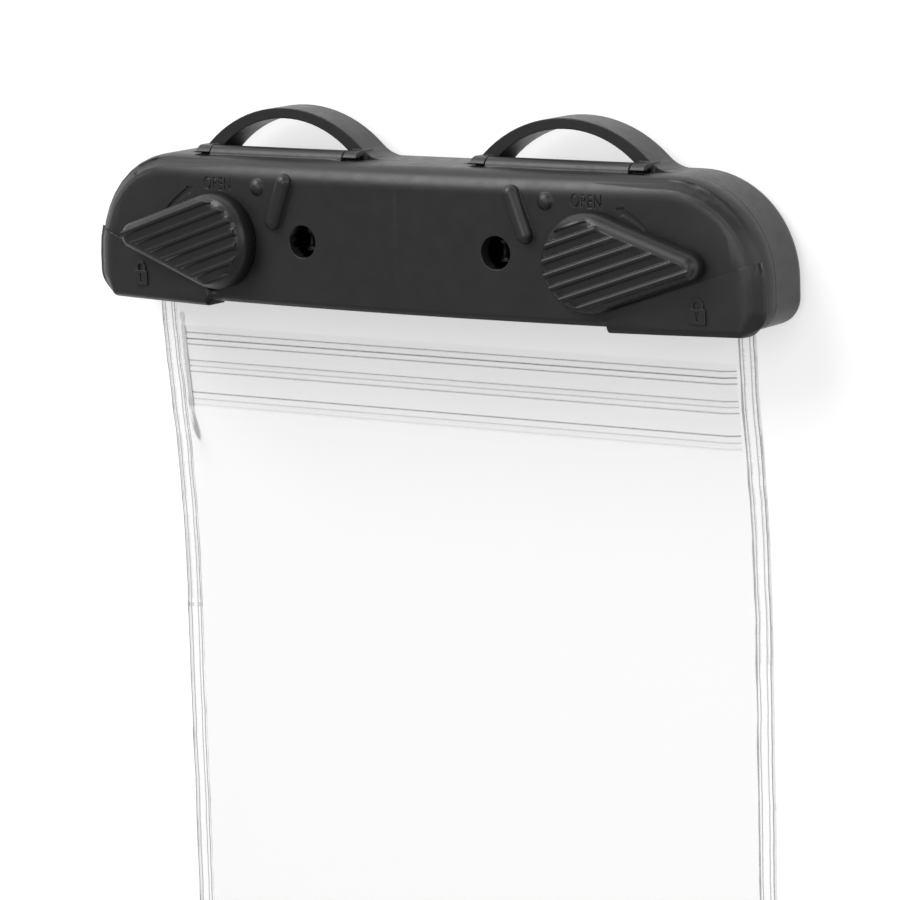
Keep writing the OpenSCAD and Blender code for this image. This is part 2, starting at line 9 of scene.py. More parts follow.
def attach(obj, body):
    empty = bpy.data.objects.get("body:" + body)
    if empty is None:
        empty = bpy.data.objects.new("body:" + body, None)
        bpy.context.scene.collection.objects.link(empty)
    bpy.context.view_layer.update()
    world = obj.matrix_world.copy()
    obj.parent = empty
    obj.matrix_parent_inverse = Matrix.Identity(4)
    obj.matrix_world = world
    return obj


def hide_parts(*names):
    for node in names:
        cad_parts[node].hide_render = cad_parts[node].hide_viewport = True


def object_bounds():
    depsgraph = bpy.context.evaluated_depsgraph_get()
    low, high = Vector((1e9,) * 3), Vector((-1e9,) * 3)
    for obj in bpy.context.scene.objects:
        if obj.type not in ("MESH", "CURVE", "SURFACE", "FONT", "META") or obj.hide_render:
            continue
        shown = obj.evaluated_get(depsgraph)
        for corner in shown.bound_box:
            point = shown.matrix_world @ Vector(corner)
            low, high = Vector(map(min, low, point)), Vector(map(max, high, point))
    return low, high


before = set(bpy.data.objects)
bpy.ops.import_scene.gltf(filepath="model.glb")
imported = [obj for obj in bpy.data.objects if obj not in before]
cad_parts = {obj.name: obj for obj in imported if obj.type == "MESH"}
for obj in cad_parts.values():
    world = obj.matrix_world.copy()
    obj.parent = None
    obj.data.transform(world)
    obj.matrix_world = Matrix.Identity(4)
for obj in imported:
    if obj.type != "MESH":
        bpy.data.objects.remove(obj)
cad_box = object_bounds()


# The camera stands to the right of the pouch and a little above its clamp, with a long lens. Its place is
# given by the point that it looks at, two angles, its roll and its distance.
VIEW_TARGET = Vector((-0.00047, 0.05278, 0.00307))
VIEW_AZIMUTH = math.radians(34.04)
VIEW_HEIGHT = math.radians(10.12)
VIEW_ROLL = math.radians(-1.67)
VIEW_DISTANCE = 0.63843
VIEW_LENS = 168.0


def stand_camera():
    """The camera's axes: back from the target along the two angles, right and up square to it, then rolled."""
    back = Vector(
        (
            math.sin(VIEW_AZIMUTH) * math.cos(VIEW_HEIGHT),
            math.sin(VIEW_HEIGHT),
            math.cos(VIEW_AZIMUTH) * math.cos(VIEW_HEIGHT),
        )
    )
    level = Vector((0, 1, 0)).cross(back).normalized()
    upright = back.cross(level)
    right = math.cos(VIEW_ROLL) * level + math.sin(VIEW_ROLL) * upright
    up = math.cos(VIEW_ROLL) * upright - math.sin(VIEW_ROLL) * level
    data = bpy.data.cameras.new("view")
    data.lens = VIEW_LENS
    data.sensor_width = 36.0
    data.clip_end = 20.0
    camera = bpy.data.objects.new("view", data)
    bpy.context.scene.collection.objects.link(camera)
    turn = Matrix((right, up, back)).transposed().to_4x4()
    camera.matrix_world = Matrix.Translation(VIEW_TARGET + VIEW_DISTANCE * back) @ turn
    bpy.context.scene.camera = camera


stand_camera()
bpy.context.scene.view_settings.view_transform = "Standard"


# The rear shell: one moulding in black plastic with a fine spark-eroded texture. It carries the two cord
# loops, the hinge ears, the locating pegs and the rails for the lock cams. Its edges are softened in the shading
# and carry a painted highlight, and its mesh is the CAD solid, merged and smoothed.
SHELL_COLOUR = (0.0155, 0.0157, 0.016)
SHELL_ROUGHNESS = 0.4
GRAIN_SIZE = 0.00022
GRAIN_DEPTH = 0.000012
EDGE_SOFTNESS = 0.00022
MILLIMETRE = 0.001
CLAMP_EDGE = 75.3
CLAMP_HEIGHT = 22.1
LOOP_FRONT = 0.0089
LOOP_BACK = 0.003
LOOP_ROUND = 0.00074


def link(tree, source, target):
    tree.links.new(source, target)


def node(tree, kind, **settings):
    """A shader node of this kind, with its properties and its named inputs set."""
    made = tree.nodes.new(kind)
    for key, value in settings.items():
        if key in made.inputs:
            made.inputs[key].default_value = value
        else:
            setattr(made, key, value)
    return made


def new_material(name):
    material = bpy.data.materials.new(name)
    material.use_nodes = True
    tree = material.node_tree
    tree.nodes.clear()
    return material, tree, node(tree, "ShaderNodeOutputMaterial")


def moulded_plastic(name, colour, roughness, grain=1.0):
    """Black moulding: a low, even grain from fine noise, a slow drift in gloss and tone, and a painted highlight on
    the edges.

    The painted highlight lies where the edge-softened normal leaves the true one: the base colour is made lighter
    there.
    """
    material, tree, output = new_material(name)
    place = node(tree, "ShaderNodeTexCoord")
    shader = node(tree, "ShaderNodeBsdfPrincipled")
    shader.inputs["Specular IOR Level"].default_value = 0.5
    drift = node(tree, "ShaderNodeTexNoise", Scale=38.0, Detail=3.0, Roughness=0.55)
    handling = node(tree, "ShaderNodeTexNoise", Scale=420.0, Detail=4.0, Roughness=0.6)
    fine = node(tree, "ShaderNodeTexNoise", Scale=1.0 / GRAIN_SIZE, Detail=2.0, Roughness=0.6)
    for texture in (drift, handling, fine):
        link(tree, place.outputs["Object"], texture.inputs["Vector"])

    soft = node(tree, "ShaderNodeBevel", samples=6, Radius=EDGE_SOFTNESS)
    flat = node(tree, "ShaderNodeNewGeometry")
    likeness = node(tree, "ShaderNodeVectorMath", operation="DOT_PRODUCT")
    link(tree, soft.outputs["Normal"], likeness.inputs[0])
    link(tree, flat.outputs["Normal"], likeness.inputs[1])
    # Painted highlight: the base colour is lightened towards 2.3 times itself where the softened normal turns from the
    # true one.
    edge_highlight_share = node(tree, "ShaderNodeMapRange")
    for key, value in (("From Min", 0.995), ("From Max", 0.8), ("To Min", 0.0), ("To Max", 0.55)):
        edge_highlight_share.inputs[key].default_value = value
    link(tree, likeness.outputs["Value"], edge_highlight_share.inputs["Value"])

    tone = node(tree, "ShaderNodeMix", data_type="RGBA")
    tone.inputs["A"].default_value = (*[c * 0.82 for c in colour], 1)
    tone.inputs["B"].default_value = (*[c * 1.2 for c in colour], 1)
    link(tree, drift.outputs["Fac"], tone.inputs["Factor"])
    painted_edge_highlight = node(tree, "ShaderNodeMix", data_type="RGBA")
    painted_edge_highlight.inputs["B"].default_value = (*[c * 2.3 for c in colour], 1)
    link(tree, edge_highlight_share.outputs["Result"], painted_edge_highlight.inputs["Factor"])
    link(tree, tone.outputs["Result"], painted_edge_highlight.inputs["A"])
    link(tree, painted_edge_highlight.outputs["Result"], shader.inputs["Base Color"])

    gloss = node(tree, "ShaderNodeMapRange")
    for key, value in (("From Min", 0.3), ("From Max", 0.7), ("To Min", roughness - 0.05), ("To Max", roughness + 0.06)):
        gloss.inputs[key].default_value = value
    link(tree, handling.outputs["Fac"], gloss.inputs["Value"])
    link(tree, gloss.outputs["Result"], shader.inputs["Roughness"])

    bump = node(tree, "ShaderNodeBump", Strength=0.6 * grain, Distance=GRAIN_DEPTH)
    link(tree, fine.outputs["Fac"], bump.inputs["Height"])
    link(tree, soft.outputs["Normal"], bump.inputs["Normal"])
    link(tree, bump.outputs["Normal"], shader.inputs["Normal"])
    link(tree, shader.outputs["BSDF"], output.inputs["Surface"])
    return material


def add_piece(name, mesh, material, body, slot, *nodes):
    """Puts a mesh in the scene as a piece that rides on a body and stands for the named CAD nodes."""
    piece = bpy.data.objects.new(name, mesh)
    bpy.context.scene.collection.objects.link(piece)
    mesh.materials.clear()
    mesh.materials.append(material)
    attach(piece, body)
    if nodes:
        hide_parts(*nodes)
    return piece


def merged_mesh(node_name, name):
    """The CAD node's mesh with its doubles merged."""
    mesh = bpy.data.meshes.new(name)
    shape = bmesh.new()
    shape.from_mesh(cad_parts[node_name].data)
    bmesh.ops.remove_doubles(shape, verts=shape.verts, dist=2e-6)
    shape.to_mesh(mesh)
    shape.free()
    return mesh


def soften(piece, sharp=28.0):
    """Smooth shading with sharp edges kept, the larger faces leading the normals."""
    mesh = piece.data
    mesh.polygons.foreach_set("use_smooth", np.ones(len(mesh.polygons), bool))
    mesh.set_sharp_from_angle(angle=math.radians(sharp))
    weigh = piece.modifiers.new("weigh_faces", "WEIGHTED_NORMAL")
    weigh.keep_sharp = True
    weigh.weight = 60


def round_loops(mesh):
    """Rounds both rims of the loops' bands, above the body, by bevels of LOOP_ROUND."""
    shape = bmesh.new()
    shape.from_mesh(mesh)
    foot = (CLAMP_EDGE + CLAMP_HEIGHT) * MILLIMETRE
    above = [v for v in shape.verts if v.co.y > foot - 1e-5 and v.co.z < LOOP_FRONT + 1e-5]
    bmesh.ops.dissolve_limit(
        shape,
        angle_limit=math.radians(0.4),
        verts=above,
        edges=[e for e in shape.edges if e.verts[0] in set(above) and e.verts[1] in set(above)],
    )
    rims = []
    for edge in shape.edges:
        low = min(v.co.y for v in edge.verts)
        flat = all(min(abs(v.co.z - LOOP_FRONT), abs(v.co.z - LOOP_BACK)) < 1e-5 for v in edge.verts)
        if low > foot + 0.0002 and flat and len(edge.link_faces) == 2 and edge.calc_face_angle() > 0.6:
            rims.append(edge)
    bmesh.ops.bevel(shape, geom=rims, offset=LOOP_ROUND, segments=5, affect="EDGES", clamp_overlap=True)
    shape.to_mesh(mesh)
    shape.free()


shell_plastic = moulded_plastic("shell_plastic", SHELL_COLOUR, SHELL_ROUGHNESS)
rear_mesh = merged_mesh("rear_shell", "rear_moulding")
round_loops(rear_mesh)
rear_shell = add_piece("rear_moulding", rear_mesh, shell_plastic, "pouch", "black_plastic", "rear_shell")
soften(rear_shell)


# The two seals: soft grey silicone strips pressed into grooves of the shells. They pinch the films at the
# pouch's mouth. A faint moulding grain and dust make them duller than the plastic.
SEAL_COLOUR = (0.25, 0.26, 0.27)


def silicone(name):
    material, tree, output = new_material(name)
    place = node(tree, "ShaderNodeTexCoord")
    shader = node(tree, "ShaderNodeBsdfPrincipled")
    dust = node(tree, "ShaderNodeTexNoise", Scale=900.0, Detail=5.0, Roughness=0.65)
    link(tree, place.outputs["Object"], dust.inputs["Vector"])
    tone = node(tree, "ShaderNodeMix", data_type="RGBA")
    tone.inputs["A"].default_value = (*SEAL_COLOUR, 1)
    tone.inputs["B"].default_value = (*[c * 1.35 for c in SEAL_COLOUR], 1)
    link(tree, dust.outputs["Fac"], tone.inputs["Factor"])
    link(tree, tone.outputs["Result"], shader.inputs["Base Color"])
    gloss = node(tree, "ShaderNodeMapRange")
    gloss.inputs["To Min"].default_value = 0.5
    gloss.inputs["To Max"].default_value = 0.72
    link(tree, dust.outputs["Fac"], gloss.inputs["Value"])
    link(tree, gloss.outputs["Result"], shader.inputs["Roughness"])
    bump = node(tree, "ShaderNodeBump", Strength=0.3, Distance=0.00002)
    link(tree, dust.outputs["Fac"], bump.inputs["Height"])
    link(tree, bump.outputs["Normal"], shader.inputs["Normal"])
    link(tree, shader.outputs["BSDF"], output.inputs["Surface"])
    return material


def dress(node_name, material):
    """Gives a CAD node that keeps its own shape a finished material."""
    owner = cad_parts[node_name]
    for k in range(max(1, len(owner.material_slots))):
        if owner.material_slots:
            owner.material_slots[k].material = material
        else:
            owner.data.materials.append(material)


seal_silicone = silicone("seal_silicone")
dress("rear_seal", seal_silicone)
dress("front_seal", seal_silicone)


# The two films: clear soft plastic sheets, welded along the sides and the bottom, open at the mouth in the
# clamp. They sag from the clamp to the table, part round the zip and lie nearly flat below it.
FILM_WIDTH = 107.5
FILM_LENGTH = 180.0
FILM_MOUTH = 17.5
FILM_THICKNESS = 0.35
FILM_LEVEL = 4.0
SAG_LENGTH = 52.0
WELD_WIDTH = 2.6
ZIP_ROOM = 1.3
SLACK = 0.6
WELD_LINES = ((0.12, 0.15), (0.78, 0.42), (2.05, 0.38), (2.6, 0.26))
REAR_LINES = ((0.12, 0.7),)
FILM_CLEAR = 0.976


def ease(a):
    """0 below 0, 1 above 1, and the smooth step 3a^2 - 2a^3 between."""
    b = np.clip(a, 0.0, 1.0)
    return b * b * (3.0 - 2.0 * b)


def film_sag(y):
    """Height of the rear film's underside: level in the clamp, then h(4t^3 - 3t^4) down to the table."""
    t = np.clip(1.0 + y / SAG_LENGTH, 0.0, 1.0)
    return (FILM_LEVEL - FILM_THICKNESS) * (4.0 * t**3 - 3.0 * t**4)


def film_room(x, y):
    """Gap between the films: none at the welds and in the clamp, most at the zip, less below it."""
    reach = FILM_WIDTH / 2 - WELD_WIDTH - np.abs(x)
    across = ease(reach / (3.0 + 9.0 * ease((-y - 19.0) / 20.0)))
    along = ZIP_ROOM * ease((-y - 1.5) / 4.0) - (ZIP_ROOM - SLACK) * ease((-y - 19.5) / 12.0)
    return across * along * ease((FILM_LENGTH - WELD_WIDTH + y) / 14.0)


def film_waves(x, y):
    """Slow unevenness of the loose film: three long sine waves, faded out at the welds and at the zip."""
    wave = (
        0.20 * np.sin(0.055 * x + 0.083 * y + 0.6)
        + 0.14 * np.sin(-0.11 * x + 0.047 * y + 2.1)
        + 0.08 * np.sin(0.19 * x - 0.13 * y)
    )
    inner = ease((FILM_WIDTH / 2 - WELD_WIDTH - np.abs(x)) / 12.0)
    return wave * inner * ease((-y - 20.0) / 16.0) * ease((FILM_LENGTH - 6.0 + y) / 18.0)


def film_columns():
    """Places across the film: every 0.2 mm over the weld and the bend beside it, wider over the middle."""
    half = FILM_WIDTH / 2
    rim = half - np.concatenate([np.arange(0.0, 5.0, 0.2), np.arange(5.0, 14.0, 1.0)])
    middle = np.linspace(-(half - 14.0), half - 14.0, 33)
    return np.concatenate([-rim, middle, rim[::-1]])


def film_lines():
    """Places along the film, from the mouth down: fine over the zip and the bottom weld."""
    bottom = -FILM_LENGTH + np.concatenate([np.arange(16.0, 5.0, -1.5), np.arange(5.0, -0.01, -0.25)])
    return np.concatenate(
        [
            np.linspace(FILM_MOUTH, 0.0, 8),
            np.arange(-0.5, -5.0, -0.5),
            np.arange(-5.0, -21.0, -0.25),
            np.arange(-21.0, -54.0, -1.5),
            np.arange(-54.0, -162.0, -3.0),
            bottom,
        ]
    )


def thin_sheet(name, x, y, low, high):
    """A closed sheet from a grid: one face of it at height low, the other at high, walls round the rim."""
    rows, cols = low.shape
    count = rows * cols
    points = np.empty((2 * count, 3))
    points[:, 0] = np.tile(x.ravel(), 2)
    points[:, 1] = np.tile(y.ravel() + CLAMP_EDGE, 2)
    points[:, 2] = np.concatenate([low.ravel(), high.ravel()])
    at = np.arange(count).reshape(rows, cols)
    quads = np.stack([at[:-1, :-1], at[:-1, 1:], at[1:, 1:], at[1:, :-1]], axis=-1).reshape(-1, 4)
    rim = np.concatenate([at[0, :-1], at[:-1, -1], at[-1, :0:-1], at[:0:-1, 0]])
    after = np.roll(rim, -1)
    walls = np.stack([after, rim, rim + count, after + count], axis=-1)
    faces = np.concatenate([quads, quads[:, ::-1] + count, walls])
    mesh = bpy.data.meshes.new(name)
    mesh.from_pydata((points * MILLIMETRE).tolist(), [], faces.tolist())
    mesh.polygons.foreach_set("use_smooth", np.ones(len(mesh.polygons), bool))
    mesh.set_sharp_from_angle(angle=math.radians(50.0))
    return mesh


def stepped(tree, value, stops):
    """A Color Ramp over value, from (place, grey) pairs; 32 at most."""
    ramp = node(tree, "ShaderNodeValToRGB")
    band = ramp.color_ramp
    band.elements.remove(band.elements[1])
    band.elements[0].position = stops[0][0]
    for place, grey in stops:
        element = band.elements[0] if place == stops[0][0] else band.elements.new(place)
        element.color = (grey, grey, grey, 1)
    link(tree, value, ramp.inputs["Fac"])
    return ramp


def line_stops(lines, low, high, clear, spread):
    """Ramp stops over low to high: clear between the lines, each line (place, grey) dark at its middle."""
    stops = [(0.0, clear)]
    for place, grey in sorted(lines):
        for shift, level in ((-spread, clear), (0.0, grey), (spread, clear)):
            stops.append((min(1.0, max(0.0, (place + shift - low) / (high - low))), level))
    return stops


def see_through(tree, output, tint, roughness, bump_height, depth):
    """Clear plastic: what is behind passes through the tint, and gloss lies over it by Fresnel."""
    bump = node(tree, "ShaderNodeBump", Strength=0.35, Distance=depth)
    link(tree, bump_height, bump.inputs["Height"])
    clear = node(tree, "ShaderNodeBsdfTransparent")
    link(tree, tint, clear.inputs["Color"])
    shine = node(tree, "ShaderNodeBsdfGlossy", Roughness=roughness)
    shine.inputs["Color"].default_value = (0.97, 0.97, 0.97, 1)
    edge = node(tree, "ShaderNodeFresnel", IOR=1.16)
    link(tree, bump.outputs["Normal"], shine.inputs["Normal"])
    link(tree, bump.outputs["Normal"], edge.inputs["Normal"])
    both = node(tree, "ShaderNodeMixShader")
    link(tree, edge.outputs["Fac"], both.inputs["Fac"])
    link(tree, clear.outputs["BSDF"], both.inputs[1])
    link(tree, shine.outputs["BSDF"], both.inputs[2])
    link(tree, both.outputs["Shader"], output.inputs["Surface"])


def film_plastic(name, lines):
    """Clear film. The welds show as thin grey lines at set distances from the rim, which waver a little."""
    material, tree, output = new_material(name)
    place = node(tree, "ShaderNodeTexCoord")
    axes = node(tree, "ShaderNodeSeparateXYZ")
    link(tree, place.outputs["Object"], axes.inputs["Vector"])
    waver = node(tree, "ShaderNodeTexNoise", Scale=140.0, Detail=2.0)
    link(tree, place.outputs["Object"], waver.inputs["Vector"])
    side = node(tree, "ShaderNodeMath", operation="ABSOLUTE")
    link(tree, axes.outputs["X"], side.inputs[0])
    from_side = node(tree, "ShaderNodeMath", operation="SUBTRACT")
    from_side.inputs[0].default_value = FILM_WIDTH / 2 * MILLIMETRE
    link(tree, side.outputs["Value"], from_side.inputs[1])
    from_end = node(tree, "ShaderNodeMath", operation="SUBTRACT")
    from_end.inputs[1].default_value = (CLAMP_EDGE - FILM_LENGTH) * MILLIMETRE
    link(tree, axes.outputs["Y"], from_end.inputs[0])
    rim = node(tree, "ShaderNodeMath", operation="MINIMUM")
    link(tree, from_side.outputs["Value"], rim.inputs[0])
    link(tree, from_end.outputs["Value"], rim.inputs[1])
    shift = node(tree, "ShaderNodeMath", operation="MULTIPLY_ADD")
    shift.inputs[1].default_value = 0.0005
    link(tree, waver.outputs["Fac"], shift.inputs[0])
    link(tree, rim.outputs["Value"], shift.inputs[2])
    scaled = node(tree, "ShaderNodeMapRange")
    for key, value in (("From Min", 0.00025), ("From Max", 0.00525), ("To Min", 0.0), ("To Max", 1.0)):
        scaled.inputs[key].default_value = value
    link(tree, shift.outputs["Value"], scaled.inputs["Value"])
    stops = line_stops(lines, 0.0, 5.0, FILM_CLEAR, 0.16)
    tint = stepped(tree, scaled.outputs["Result"], stops + [(1.0, FILM_CLEAR)])
    ripple = node(tree, "ShaderNodeTexNoise", Scale=55.0, Detail=3.0, Roughness=0.5)
    link(tree, place.outputs["Object"], ripple.inputs["Vector"])
    see_through(tree, output, tint.outputs["Color"], 0.16, ripple.outputs["Fac"], 0.0004)
    return material


rear_film_clear = film_plastic("rear_film_clear", REAR_LINES)
front_film_clear = film_plastic("front_film_clear", WELD_LINES)
film_x, film_y = np.meshgrid(film_columns(), film_lines())
film_base = film_sag(film_y)
film_gap = film_room(film_x, film_y)
rear_low = film_base + np.maximum(0.0, 0.35 * film_waves(film_x, film_y) - 0.02)
front_low = film_base + FILM_THICKNESS + np.maximum(film_gap + film_waves(film_x, film_y) * (film_gap > 0), 0.0)
rear_film = add_piece(
    "rear_sheet",
    thin_sheet("rear_sheet", film_x, film_y, rear_low, rear_low + FILM_THICKNESS),
    rear_film_clear,
    "pouch",
    "clear_film",
    "rear_film",
)
front_film = add_piece(
    "front_sheet",
    thin_sheet("front_sheet", film_x, film_y, front_low, front_low + FILM_THICKNESS),
    front_film_clear,
    "pouch",
    "clear_film",
    "front_film",
)


# The zip: two strips of clear tape welded inside the films, each with two lines of profile. The shade that
# the profiles' sides show through the film is painted into the tint as dark lines, and the tapes' welded lower edges
# are drawn as a group of thin ones.
# Lines as (place, grey): the first six are painted shade of the profiles' sides, the last three the welded lower
# edges.
ZIP_LINES = (
    (-7.0, 0.62),
    (-8.0, 0.45),
    (-8.9, 0.6),
    (-11.5, 0.66),
    (-12.4, 0.74),
    (-13.3, 0.66),
    (-16.7, 0.55),
    (-17.75, 0.8),
    (-18.7, 0.9),
)
ZIP_RIBS = (-7.5, -8.45, -11.95, -12.85)
TAPE_TOP = -6.0
TAPE_BOTTOM = -19.2
TAPE_THICKNESS = 0.2
TAPE_CLEAR = 0.994
ZIP_END = 50.4


def rib_rise(y):
    """Rise of the zip profile: a half-round of 0.42 mm radius at each of its lines."""
    rise = np.zeros_like(y)
    for line in ZIP_RIBS:
        rise = np.maximum(rise, np.sqrt(np.clip(0.42**2 - (y - line) ** 2, 0.0, None)))
    return rise


def zip_plastic(name, lines):
    """Clear tape with thin grey lines at set distances below the clamp: painted shade of the profiles' sides, and the
    welded edges' own lines.
    """
    material, tree, output = new_material(name)
    place = node(tree, "ShaderNodeTexCoord")
    axes = node(tree, "ShaderNodeSeparateXYZ")
    link(tree, place.outputs["Object"], axes.inputs["Vector"])
    scaled = node(tree, "ShaderNodeMapRange")
    low, high = -20.0, -5.0
    for key, value in (
        ("From Min", (CLAMP_EDGE + low) * MILLIMETRE),
        ("From Max", (CLAMP_EDGE + high) * MILLIMETRE),
        ("To Min", 0.0),
        ("To Max", 1.0),
    ):
        scaled.inputs[key].default_value = value
    link(tree, axes.outputs["Y"], scaled.inputs["Value"])
    tint = stepped(tree, scaled.outputs["Result"], line_stops(lines, low, high, TAPE_CLEAR, 0.15))
    draw = node(tree, "ShaderNodeTexNoise", Scale=700.0, Detail=2.0)
    link(tree, place.outputs["Object"], draw.inputs["Vector"])
    see_through(tree, output, tint.outputs["Color"], 0.2, draw.outputs["Fac"], 0.0001)
    return material


# The rear tape's two faint lines are painted shade at its profiles.
rear_zip_clear = zip_plastic("rear_zip_clear", ((-7.5, 0.97), (-12.0, 0.96)))
front_zip_clear = zip_plastic("front_zip_clear", ZIP_LINES)
zip_columns = np.concatenate([-ZIP_END + np.arange(0.0, 4.0, 0.4), np.linspace(-ZIP_END + 4.0, ZIP_END - 4.0, 41)])
zip_columns = np.concatenate([zip_columns, ZIP_END - np.arange(3.6, -0.01, -0.4)])
zip_x, zip_y = np.meshgrid(zip_columns, np.arange(TAPE_TOP, TAPE_BOTTOM, -0.12))
zip_gap = film_room(zip_x, zip_y)
zip_share = zip_gap / ZIP_ROOM
zip_floor = film_sag(zip_y) + FILM_THICKNESS
rear_tape_low = zip_floor + 0.02 * zip_share
rear_tape_high = rear_tape_low + zip_share * (TAPE_THICKNESS + rib_rise(zip_y))
front_tape_high = zip_floor + zip_gap - 0.02 * zip_share
front_tape_low = front_tape_high - zip_share * (TAPE_THICKNESS + 0.2 * rib_rise(zip_y))
rear_zip = add_piece(
    "rear_zip_tape",
    thin_sheet("rear_zip_tape", zip_x, zip_y, rear_tape_low, rear_tape_high),
    rear_zip_clear,
    "pouch",
    "zip_plastic",
    "rear_zip_strip",
)
front_zip = add_piece(
    "front_zip_tape",
    thin_sheet("front_zip_tape", zip_x, zip_y, front_tape_low, front_tape_high),
    front_zip_clear,
    "pouch",
    "zip_plastic",
    "front_zip_strip",
)
for clear_piece in (rear_film, front_film, rear_zip, front_zip):
    clear_piece.visible_shadow = False
    clear_piece.visible_diffuse = False


# The front shell: the same black plastic, bowed along its length, with raised pads under the knobs. The
# word and the arrows over the knobs are sunk into it, and a padlock stands on each pad.
FACE_MIDDLE = 16.5
BOW_RADIUS = 425.0
CLAMP_HALF = 60.0
TOP_CORNER = 15.5
EDGE_ROUND = 3.5
PAD_START = 36.1
PAD_RISE = 1.2
PAD_DROP = 0.7
PAD_FALL = 1.05
PAD_BASE = 11.2
WORD_PLACES = {-1: (-33.7, 18.2, 5.4), 1: (32.5, 18.25, 5.0)}
WORD_HEIGHT = 1.95
SIGN_DEPTH = 0.28


def skin_offset(points):
    """Vectors from the clamp's inner form to its front skin, EDGE_ROUND long where a point is on the skin.

    The inner form is the outline drawn in by the edge's round, under the bow of the face drawn in as much.
    points are in the clamp's millimetres, Y from its bottom edge.
    """
    x, y, z = points.T
    side = np.abs(x)
    dx = np.maximum(side - (CLAMP_HALF - TOP_CORNER), 0.0)
    dy = np.maximum(y - (CLAMP_HEIGHT - TOP_CORNER), 0.0)
    keep = np.minimum(1.0, (TOP_CORNER - EDGE_ROUND) / np.maximum(np.hypot(dx, dy), 1e-6))
    inner_x = np.minimum(side, CLAMP_HALF - TOP_CORNER) + dx * keep
    inner_y = np.minimum(y, CLAMP_HEIGHT - TOP_CORNER) + dy * keep
    bow = FACE_MIDDLE - BOW_RADIUS + np.sqrt((BOW_RADIUS - EDGE_ROUND) ** 2 - inner_x**2)
    away = np.stack([side - inner_x, y - inner_y, z - np.minimum(z, bow)], axis=-1)
    away[:, 0] = (away[:, 0] + away[:, 2] * inner_x / BOW_RADIUS) * np.sign(x)
    return away


def pad_share(x):
    """0 at a pad's inner end, 1 at the clamp's end."""
    return np.clip((np.abs(x) - PAD_START) / (CLAMP_HALF - PAD_START), 0.0, 1.0)


def on_pad(points):
    """Which points lie on the raised pads: below the skin's own lip, or on the skin moved to the pads."""
    moved = skin_offset(points + (0.0, PAD_DROP, -PAD_RISE))
    true = np.abs(np.linalg.norm(moved, axis=1) - EDGE_ROUND) < 0.25
    return (np.abs(points[:, 0]) > PAD_START - 0.05) & (points[:, 2] > PAD_BASE - 0.05) & (true | (points[:, 1] < 3.6))


def get_points(mesh):
    """The mesh's vertices in the clamp's millimetres."""
    points = np.empty(len(mesh.vertices) * 3)
    mesh.vertices.foreach_get("co", points)
    return points.reshape(-1, 3) / MILLIMETRE - (0.0, CLAMP_EDGE, 0.0)


def settle_pads(mesh):
    """Lowers the pads towards the clamp's ends, where they run out level with the face."""
    points = get_points(mesh)
    fall = PAD_FALL * pad_share(points[:, 0]) * ease((points[:, 2] - PAD_BASE) / 1.5)
    points[:, 2] -= np.where(on_pad(points), fall, 0.0)
    mesh.vertices.foreach_set("co", ((points + (0.0, CLAMP_EDGE, 0.0)) * MILLIMETRE).ravel())
    mesh.update()


def smooth_skin(piece):
    """Gives the facets of the front skin and of the pads the normals of the true curved surface."""
    bpy.context.view_layer.update()
    mesh = bpy.data.meshes.new_from_object(piece.evaluated_get(bpy.context.evaluated_depsgraph_get()))
    piece.modifiers.clear()
    piece.data = mesh
    corners = len(mesh.loops)
    normals = np.empty(corners * 3)
    mesh.corner_normals.foreach_get("vector", normals)
    normals = normals.reshape(-1, 3)
    owner = np.empty(corners, int)
    mesh.loops.foreach_get("vertex_index", owner)
    sizes = np.empty(len(mesh.polygons), int)
    mesh.polygons.foreach_get("loop_total", sizes)
    facing = np.empty(len(mesh.polygons) * 3)
    mesh.polygons.foreach_get("normal", facing)
    facing = np.repeat(facing.reshape(-1, 3), sizes, axis=0)
    points = get_points(mesh)[owner]
    share = pad_share(points[:, 0])
    lift = np.stack([0 * share, 0 * share + PAD_DROP, PAD_FALL * share - PAD_RISE], axis=-1)
    for shift, slope in ((0.0 * lift, 0.0), (lift, PAD_FALL / (CLAMP_HALF - PAD_START))):
        away = skin_offset(points + shift)
        away[:, 0] += away[:, 2] * slope * np.sign(points[:, 0])
        length = np.linalg.norm(away, axis=1)
        away /= np.maximum(length, 1e-6)[:, None]
        true = (np.abs(length - EDGE_ROUND) < 0.25) & ((points + shift)[:, 1] > 3.7)
        true &= np.sum(away * facing, axis=1) > 0.97
        normals[true] = away[true]
    mesh.normals_split_custom_set(normals.tolist())


front_mesh = merged_mesh("front_shell", "front_moulding")
settle_pads(front_mesh)
front_shell = add_piece("front_moulding", front_mesh, shell_plastic, "clamp_front", "black_plastic", "front_shell")


def face_frame(x, y, lift=0.0):
    """The place on the bowed front at x, y: Z out of the face, X along it, in metres."""
    height = FACE_MIDDLE - BOW_RADIUS + math.sqrt(BOW_RADIUS**2 - x**2) + lift
    place = Vector((x, y + CLAMP_EDGE, height)) * MILLIMETRE
    return Matrix.Translation(place) @ Matrix.Rotation(math.asin(x / BOW_RADIUS), 4, "Y")


def word_cutter(name, side):
    """The word as a closed solid, fitted to its width and height and centred on its place on the face."""
    text = bpy.data.curves.new(name, "FONT")
    text.body = "OPEN"
    text.size = 1.0
    text.extrude = 0.5
    text.space_character = 1.12
    holder = bpy.data.objects.new(name, text)
    bpy.context.scene.collection.objects.link(holder)
    bpy.context.view_layer.update()
    mesh = bpy.data.meshes.new_from_object(holder.evaluated_get(bpy.context.evaluated_depsgraph_get()))
    bpy.data.objects.remove(holder)
    corners = np.empty(len(mesh.vertices) * 3)
    mesh.vertices.foreach_get("co", corners)
    corners = corners.reshape(-1, 3)
    low, high = corners.min(0), corners.max(0)
    x, y, width = WORD_PLACES[side]
    fit = np.array([width, WORD_HEIGHT, 2 * SIGN_DEPTH]) / (high - low) * MILLIMETRE
    corners = (corners - (low + high) / 2) * fit
    mesh.vertices.foreach_set("co", corners.ravel())
    mesh.transform(face_frame(x, y))
    return mesh


